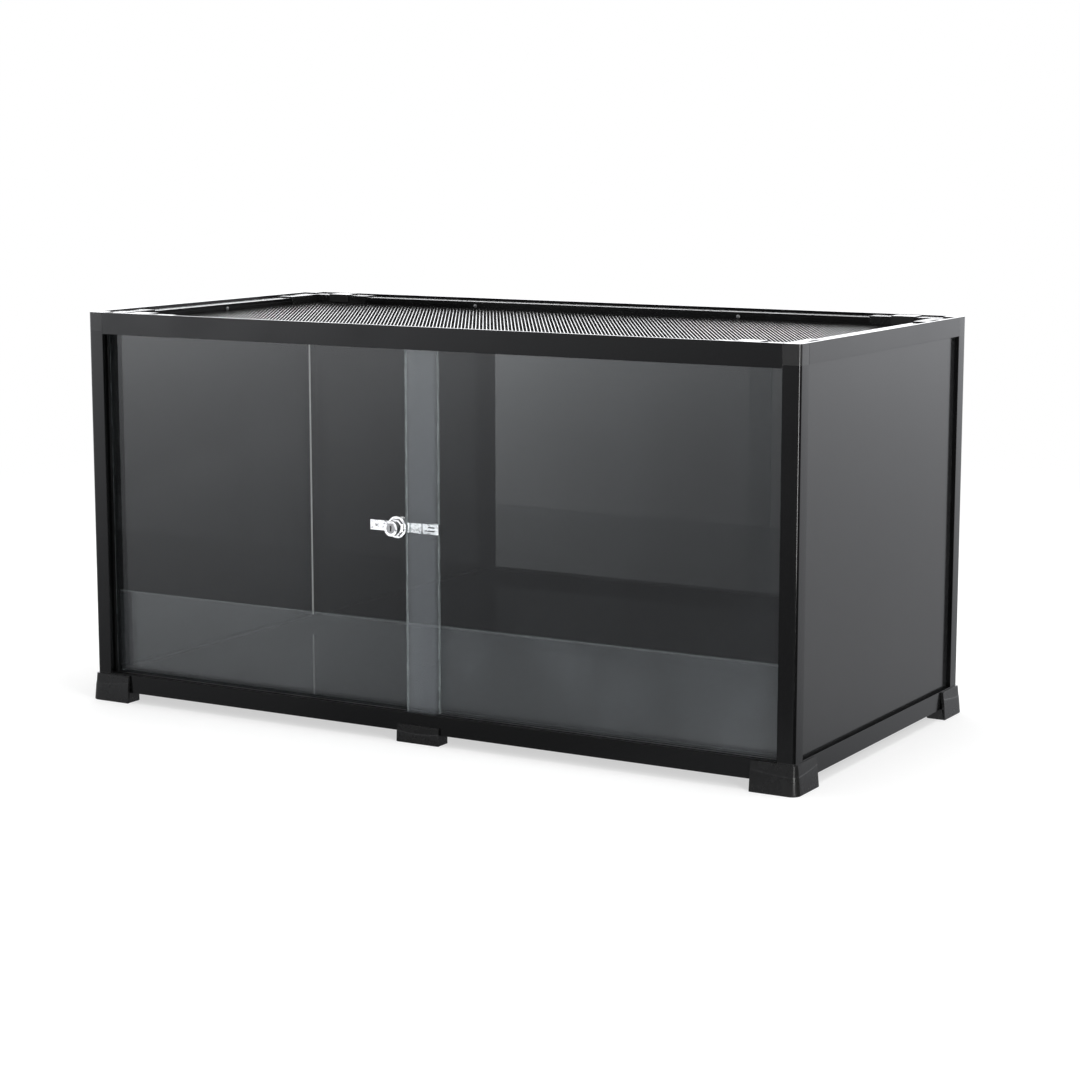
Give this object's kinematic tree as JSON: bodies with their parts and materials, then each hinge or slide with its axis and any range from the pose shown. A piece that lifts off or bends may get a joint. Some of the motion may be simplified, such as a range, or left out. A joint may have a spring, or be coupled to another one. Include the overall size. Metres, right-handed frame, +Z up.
{
  "type": "reptile terrarium",
  "caption": "Low, wide glass-fronted reptile tank on short feet, with black bar frame, dark walls, two sliding glass doors, a bar lock and a lift-off mesh top with cable ports.",
  "frame": {"origin": "on the floor, under the middle of the tank's footprint", "axes": "+X to the right along the doors, +Y back from the doors to the rear wall, +Z up"},
  "size_m": [0.9144, 0.4572, 0.4572],
  "materials": {
    "frame_bar": "satin black",
    "corner_plastic": "satin black moulding",
    "foot_plastic": "glossy dark grey moulding",
    "dark_board": "smooth glossy charcoal face",
    "clear_glass": "clear, with a faint green edge",
    "track_plastic": "matte black",
    "lock_chrome": "bright chrome plate",
    "screw_steel": "plain bright steel",
    "screen_bar": "glossy black paint",
    "mesh_metal": "black coated wire",
    "rivet_metal": "bright domed heads",
    "port_plastic": "satin black moulding",
    "cover_plastic": "satin dark grey moulding"
  },
  "bodies": {
    "tank": {"sill_rail": "frame_bar", "base_rail_rear": "frame_bar", "base_rail_left": "frame_bar", "base_rail_right": "frame_bar", "head_rail": "frame_bar", "top_rail_rear": "frame_bar", "top_rail_left": "frame_bar", "top_rail_right": "frame_bar", "post_front_left": "frame_bar", "post_front_right": "frame_bar", "post_rear_left": "frame_bar", "post_rear_right": "frame_bar", "base_corner_front_left": "corner_plastic", "base_corner_front_right": "corner_plastic", "base_corner_rear_left": "corner_plastic", "base_corner_rear_right": "corner_plastic", "top_corner_front_left": "corner_plastic", "top_corner_front_right": "corner_plastic", "top_corner_rear_left": "corner_plastic", "top_corner_rear_right": "corner_plastic", "foot_front_left": "foot_plastic", "foot_front_right": "foot_plastic", "foot_rear_left": "foot_plastic", "foot_rear_right": "foot_plastic", "foot_front_middle": "foot_plastic", "foot_rear_middle": "foot_plastic", "foot_screws": "screw_steel", "left_wall": "dark_board", "right_wall": "dark_board", "rear_wall": "dark_board", "floor_board": "dark_board", "low_front_glass": "clear_glass", "lower_track": "track_plastic", "upper_track": "track_plastic"},
    "left_door": {"left_door": "clear_glass", "lock_bar": "lock_chrome"},
    "right_door": {"right_door": "clear_glass", "lock_body": "lock_chrome", "lock_pawl": "screw_steel"},
    "key_plug": {"key_plug": "lock_chrome"},
    "screen_top": {"screen_bar_front": "screen_bar", "screen_bar_rear": "screen_bar", "screen_bar_left": "screen_bar", "screen_bar_right": "screen_bar", "screen_mesh": "mesh_metal", "mesh_strip_front": "screen_bar", "mesh_strip_rear": "screen_bar", "mesh_strip_left": "screen_bar", "mesh_strip_right": "screen_bar", "mesh_rivets": "rivet_metal", "port_block_front_left": "port_plastic", "port_block_front_right": "port_plastic", "port_block_rear_left": "port_plastic", "port_block_rear_right": "port_plastic"},
    "port_cover_front_left": {"port_cover_front_left": "cover_plastic"},
    "port_cover_front_right": {"port_cover_front_right": "cover_plastic"},
    "port_cover_rear_left": {"port_cover_rear_left": "cover_plastic"},
    "port_cover_rear_right": {"port_cover_rear_right": "cover_plastic"}
  },
  "joints": [
    {"name": "left_door_slide", "type": "slide", "parent": "tank", "child": "left_door", "axis": [1, 0, 0], "range_m": [0, 0.41]},
    {"name": "right_door_slide", "type": "slide", "parent": "tank", "child": "right_door", "axis": [-1, 0, 0], "range_m": [0, 0.388]},
    {"name": "key_plug_turn", "type": "hinge", "parent": "right_door", "child": "key_plug", "pos_m": [-0.0306, -0.2226, 0.237], "axis": [0, -1, 0], "range_deg": [0, 90]},
    {"name": "screen_top_lift", "type": "slide", "parent": "tank", "child": "screen_top", "axis": [0, 0, 1], "range_m": [0, 0.15]},
    {"name": "port_cover_front_left_slide", "type": "slide", "parent": "screen_top", "child": "port_cover_front_left", "axis": [1, 0, 0], "range_m": [0, 0.024]},
    {"name": "port_cover_front_right_slide", "type": "slide", "parent": "screen_top", "child": "port_cover_front_right", "axis": [-1, 0, 0], "range_m": [0, 0.024]},
    {"name": "port_cover_rear_left_slide", "type": "slide", "parent": "screen_top", "child": "port_cover_rear_left", "axis": [1, 0, 0], "range_m": [0, 0.024]},
    {"name": "port_cover_rear_right_slide", "type": "slide", "parent": "screen_top", "child": "port_cover_rear_right", "axis": [-1, 0, 0], "range_m": [0, 0.024]}
  ]
}
